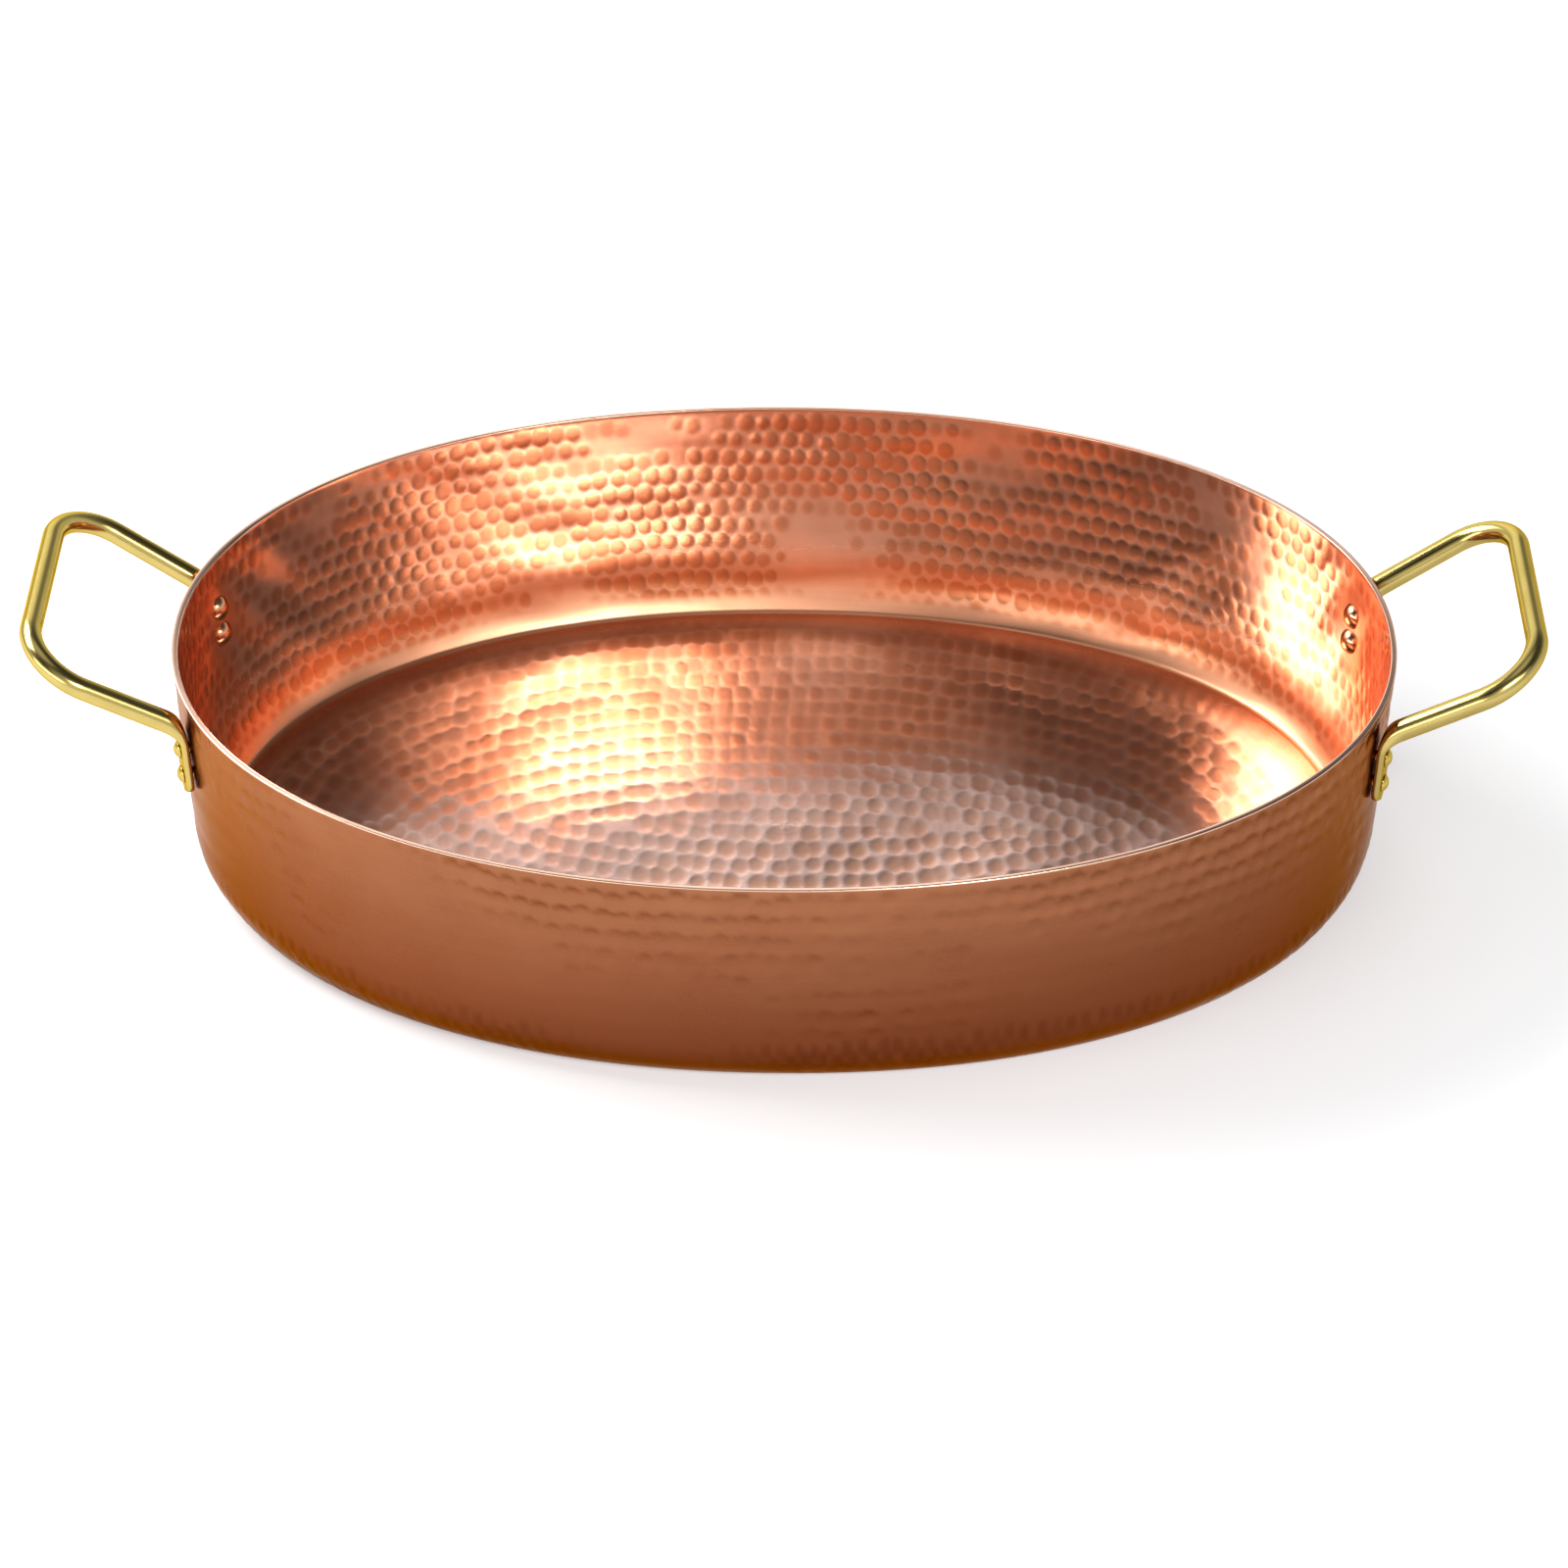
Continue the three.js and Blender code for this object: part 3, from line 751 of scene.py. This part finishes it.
def rod_section(from_end):
    """Half width, half thickness and fullness of the rod at a distance from the end of a foot."""
    bend = FOOT_END_DEPTH - FOOT_BEND_DEPTH
    roundness = smoothstep(from_end, bend - FLATTENING_RUN / 2, bend + FLATTENING_RUN / 2)
    tip = FOOT_WIDTH / 2
    before_tip = max(0, tip - from_end)
    flat = (math.sqrt(tip * tip - before_tip * before_tip), FOOT_THICKNESS / 2, FOOT_FULLNESS)
    rod = (ROD_DIAMETER / 2, ROD_DIAMETER / 2, 2)
    half_width, half_thickness, fullness = [a + (b - a) * roundness for a, b in zip(flat, rod)]
    return ROD_SHARE * half_width, ROD_SHARE * half_thickness, fullness


def square_to(direction, along):
    """The part of a direction at right angles to the rod, at full length."""
    return (direction - along * direction.dot(along)).normalized()


def bulge(share, fullness):
    """How far out a section reaches, for a share of the way across it."""
    return math.copysign(abs(share) ** (2 / fullness), share)


def bent_handle(name, turned, material):
    """A brass rod bent into a loop, its ends forged flat where they lie on the wall."""
    stand_off = SEAT_GAP + FOOT_THICKNESS / 2
    foot_near, foot_far = foot_axes(-1), foot_axes(1)
    foot_end = Vector((0, stand_off, -FOOT_END_DEPTH))
    foot_bend = Vector((0, stand_off, -FOOT_BEND_DEPTH))
    grip_x, grip_z = RIM_LENGTH / 2 + HANDLE_REACH, PAN_HEIGHT + HANDLE_RISE
    route = rounded_route(
        [foot_near @ foot_end, foot_near @ foot_bend,
         Vector((grip_x, -GRIP_WIDTH / 2, grip_z)), Vector((grip_x, GRIP_WIDTH / 2, grip_z)),
         foot_far @ foot_bend, foot_far @ foot_end],
        [FOOT_BEND_RADIUS, GRIP_BEND_RADIUS, GRIP_BEND_RADIUS, FOOT_BEND_RADIUS])
    centres = np.array([centre for centre, _ in route])
    travel = travelled(centres)
    rings = []
    across = foot_near.col[0].xyz
    for (centre, along), gone in zip(route, travel):
        across = square_to(across, along)
        beside = along.cross(across)
        nearest = foot_near if gone < travel[-1] / 2 else foot_far
        wide = square_to(nearest.col[0].xyz, along)
        thick = along.cross(wide)
        from_end = min(gone, travel[-1] - gone)
        half_width, half_thickness, fullness = rod_section(max(from_end, ROD_TIP))
        ring = []
        for side in range(ROD_SIDES):
            angle = 2 * math.pi * side / ROD_SIDES
            spoke = across * math.cos(angle) + beside * math.sin(angle)
            ring.append(centre + wide * (half_width * bulge(spoke.dot(wide), fullness))
                        + thick * (half_thickness * bulge(spoke.dot(thick), fullness)))
        rings.append(np.array(ring))
    vertices, faces = closed_rings(rings, centres[0], centres[-1])
    if turned:
        vertices = vertices * (-1, -1, 1)
    return mesh_piece(name, vertices, faces, [material])


def dome(diameter, height, seat, sign):
    """A domed head from near its tip to its edge, as radius and place along the rivet."""
    sphere = (diameter * diameter / 4 + height * height) / (2 * height)
    edge = math.asin(min(1, diameter / 2 / sphere))
    turns = [edge * i / DOME_STEPS for i in range(1, DOME_STEPS + 1)]
    return [(sphere * math.sin(turn), seat + sign * (height - sphere + sphere * math.cos(turn)))
            for turn in turns]


def domed_rivet(name, axes, material):
    """A rivet on its own axis: a large dome inside the pan, its shank, and the set head on the foot."""
    inner_seat = -SHEET - INNER_HEAD_GAP
    outer_seat = SEAT_GAP + FOOT_THICKNESS + OUTER_HEAD_GAP
    section = dome(INNER_HEAD_DIAMETER, INNER_HEAD_HEIGHT, inner_seat, -1)
    section += [(SHANK_RADIUS, inner_seat), (SHANK_RADIUS, outer_seat)]
    section += dome(OUTER_HEAD_DIAMETER, OUTER_HEAD_HEIGHT, outer_seat, 1)[::-1]
    angles = np.arange(RIVET_SIDES) * 2 * math.pi / RIVET_SIDES
    rings = [np.column_stack([r * np.sin(angles), np.full(RIVET_SIDES, y), r * np.cos(angles)])
             for r, y in section]
    vertices, faces = closed_rings(
        rings, [0, inner_seat - INNER_HEAD_HEIGHT, 0], [0, outer_seat + OUTER_HEAD_HEIGHT, 0])
    in_pan = vertices[:, 1] < -SHEET / 2
    turn = np.array(axes)
    piece = mesh_piece(name, vertices @ turn[:3, :3].T + turn[:3, 3], faces, [material])
    # Marks the head inside the pan, which the brass paints coppery as a painted reflection of the copper
    mark_points(piece, "inside", in_pan)
    return piece


# Studio

def pale_floor():
    """A matt white sheet under the pan, evenly white to the eye and in the metal, which keeps the pan's
    shadow. Its own glow grows away from the pan, where the lamps no longer reach."""
    material, tree = new_material("matt_white_floor")
    paths = add(tree, "ShaderNodeLightPath").outputs
    seen = paths["Is Camera Ray"]
    for path in ("Is Glossy Ray", "Is Transmission Ray"):
        seen = add(tree, "ShaderNodeMath", {0: seen, 1: paths[path]}, operation="MAXIMUM").outputs[0]
    place = add(tree, "ShaderNodeNewGeometry").outputs["Position"]
    away = add(tree, "ShaderNodeVectorMath", {0: place}, operation="LENGTH").outputs["Value"]
    fill = add(tree, "ShaderNodeMapRange", {
        "Value": away, "From Min": FLOOR_GLOW_NEAR[0], "From Max": FLOOR_GLOW_FAR[0],
        "To Min": FLOOR_GLOW_NEAR[1], "To Max": FLOOR_GLOW_FAR[1]}).outputs[0]
    glow = add(tree, "ShaderNodeMath", {0: seen, 1: fill}, operation="MULTIPLY").outputs[0]
    paper = add(tree, "ShaderNodeBsdfDiffuse", {"Color": linear("#f4f4f4")})
    light = add(tree, "ShaderNodeEmission", {"Color": linear("#ffffff"), "Strength": glow})
    finish_material(tree, add(tree, "ShaderNodeAddShader", {0: paper.outputs[0], 1: light.outputs[0]}))
    corners = [(-1, -1), (1, -1), (1, 1), (-1, 1)]
    points = [(x * FLOOR_HALF_SIZE, y * FLOOR_HALF_SIZE, -FLOOR_GAP) for x, y in corners]
    floor = mesh_piece("floor", points, [np.array([[0, 1, 2, 3]])], [material])


def towards(azimuth, elevation):
    """A direction from the pan; azimuth 0 is on the right, 90 behind, 180 on the left."""
    a, e = math.radians(azimuth), math.radians(elevation)
    return Vector((math.cos(a) * math.cos(e), math.sin(a) * math.cos(e), math.sin(e)))


def softbox(name, azimuth, elevation, distance, width, height, brightness):
    """A lamp panel facing the pan, its place in degrees and metres."""
    lamp = bpy.data.lights.new(name, "AREA")
    lamp.shape = "RECTANGLE"
    lamp.size = width
    lamp.size_y = height
    lamp.energy = brightness * math.pi * width * height
    panel = bpy.data.objects.new(name, lamp)
    panel.location = distance * towards(azimuth, elevation)
    panel.rotation_euler = (-panel.location).to_track_quat("-Z", "Y").to_euler()
    bpy.context.scene.collection.objects.link(panel)


def studio_room():
    """The room around: white near the horizon, dim above, darker on the right, with soft glows where it is
    lit. Seen straight, it is white."""
    world = bpy.data.worlds.new("studio_room")
    world.use_nodes = True
    tree = world.node_tree
    tree.nodes.clear()
    seen = add(tree, "ShaderNodeTexCoord").outputs["Generated"]
    right, _, up = add(tree, "ShaderNodeSeparateXYZ", {"Vector": seen}).outputs
    level = add(tree, "ShaderNodeMapRange", {
        "Value": up, "From Min": 0.5, "From Max": 0.7, "To Min": ROOM_MIDDLE, "To Max": ROOM_OVERHEAD},
        interpolation_type="SMOOTHSTEP").outputs[0]
    side = add(tree, "ShaderNodeMapRange", {
        "Value": right, "From Min": 0.0, "From Max": 0.6, "To Min": 1.0, "To Max": ROOM_RIGHT_SHARE},
        interpolation_type="SMOOTHSTEP").outputs[0]
    level = add(tree, "ShaderNodeMath", {0: level, 1: side}, operation="MULTIPLY").outputs[0]
    low = add(tree, "ShaderNodeMapRange", {
        "Value": up, "From Min": 0.28, "From Max": 0.46, "To Min": 1.0, "To Max": 0.0},
        interpolation_type="SMOOTHSTEP").outputs[0]
    level = add(tree, "ShaderNodeMix", {0: low, 2: level, 3: ROOM_LOW}, data_type="FLOAT").outputs[0]
    for azimuth, elevation, inner, outer, strength in ROOM_GLOWS:
        nearness = add(tree, "ShaderNodeVectorMath", {0: seen, 1: towards(azimuth, elevation)},
                       operation="DOT_PRODUCT").outputs["Value"]
        end, full = math.cos(math.radians(outer)), math.cos(math.radians(inner))
        glow = add(tree, "ShaderNodeMapRange", {
            "Value": nearness, "From Min": end, "From Max": full, "To Min": 0, "To Max": strength},
            interpolation_type="SMOOTHSTEP").outputs[0]
        level = add(tree, "ShaderNodeMath", {0: level, 1: glow}, operation="ADD").outputs[0]
    straight = add(tree, "ShaderNodeLightPath").outputs["Is Camera Ray"]
    level = add(tree, "ShaderNodeMix", {0: straight, 2: level, 3: ROOM_SEEN}, data_type="FLOAT").outputs[0]
    light = add(tree, "ShaderNodeBackground", {"Color": linear("#fafcff"), "Strength": level})
    output = add(tree, "ShaderNodeOutputWorld")
    tree.links.new(light.outputs[0], output.inputs["Surface"])
    bpy.context.scene.world = world


def photo_camera():
    """The photo's view, from a camera fitted to its outlines."""
    camera = bpy.data.cameras.new("photo_camera")
    camera.sensor_width = 36
    camera.lens = 114.03
    camera.clip_start = 0.05
    camera.clip_end = 30
    stand = bpy.data.objects.new("photo_camera", camera)
    stand.location = (0.0168, -1.3423, 0.9986)
    stand.rotation_euler = (math.radians(90 - 36.11), 0, math.radians(0.715))
    bpy.context.scene.collection.objects.link(stand)
    bpy.context.scene.camera = stand


# Inside: rim, bright wall, its deeper foot and the pale floor; the deeper orange foot and the darker edge of
# the floor beside it are painted shade in the corner. Outside: duller metal, browner downwards as painted
# shade near the floor
bright_copper = planished_copper(
    "planished_copper_inside",
    [(0, "#f3c9b0"), (2, "#f9ccb0"), (56, "#f9ccb0"), (66, "#eaa680"), (85, "#eaa680"), (93, "#fad3c4")],
    edge="#fff4ee", hollow_tint_and_painted_shade="#e8d0bc", rough_low=0.16, rough_high=0.24, foot_satin=0.12)
# Outside copper: darker and browner downwards as painted shade near the floor, and its hollow tint lays
# painted shade under the upper lip of each mark
worn_and_shaded_copper = planished_copper(
    "planished_copper_outside", [(0, "#a06849"), (74, "#763b1f")],
    edge="#e4c4ac", hollow_tint_and_painted_shade="#d2bfae", rough_low=0.2, rough_high=0.32, foot_satin=0)
rod_brass = polished_brass(
    "polished_brass_rod", "#ccb772", "#b29e58", inside="#ccb772", rough_low=0.15, rough_high=0.23)
# Rivet heads inside the pan are coppery: a painted reflection of the copper around them
rivet_brass = polished_brass(
    "polished_brass_rivet", "#d0b666", "#b79c4c", inside="#d9a07c", rough_low=0.13, rough_high=0.2)

pan = hammered_pan([bright_copper, worn_and_shaded_copper])
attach(pan, "root")
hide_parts("pan_body")

for side, turned, rows in (("right", False, ("front", "back")), ("left", True, ("back", "front"))):
    handle = bent_handle(f"bent_rod_{side}", turned, rod_brass)
    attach(handle, "root")
    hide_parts(f"handle_{side}")
    for end, row in zip((-1, 1), rows):
        for level, depth in RIVET_DEPTHS.items():
            axes = foot_axes(end) @ Matrix.Translation((0, 0, -depth))
            if turned:
                axes = HALF_TURN @ axes
            rivet = domed_rivet(f"domed_rivet_{side}_{row}_{level}", axes, rivet_brass)
            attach(rivet, "root")
            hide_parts(f"rivet_{side}_{row}_{level}")

pale_floor()
studio_room()
softbox("key_left", 156, 40, distance=1.3, width=1, height=0.66, brightness=8)
softbox("front_right", -57.5, 35.5, distance=1.4, width=0.94, height=0.34, brightness=2.8)
softbox("front_spot", -66, 41.5, distance=1.35, width=0.48, height=0.24, brightness=13)
softbox("front_left_strip", -136, 15.5, distance=1.4, width=1.45, height=0.29, brightness=4.5)
photo_camera()

bpy.context.scene.view_settings.view_transform = "Standard"
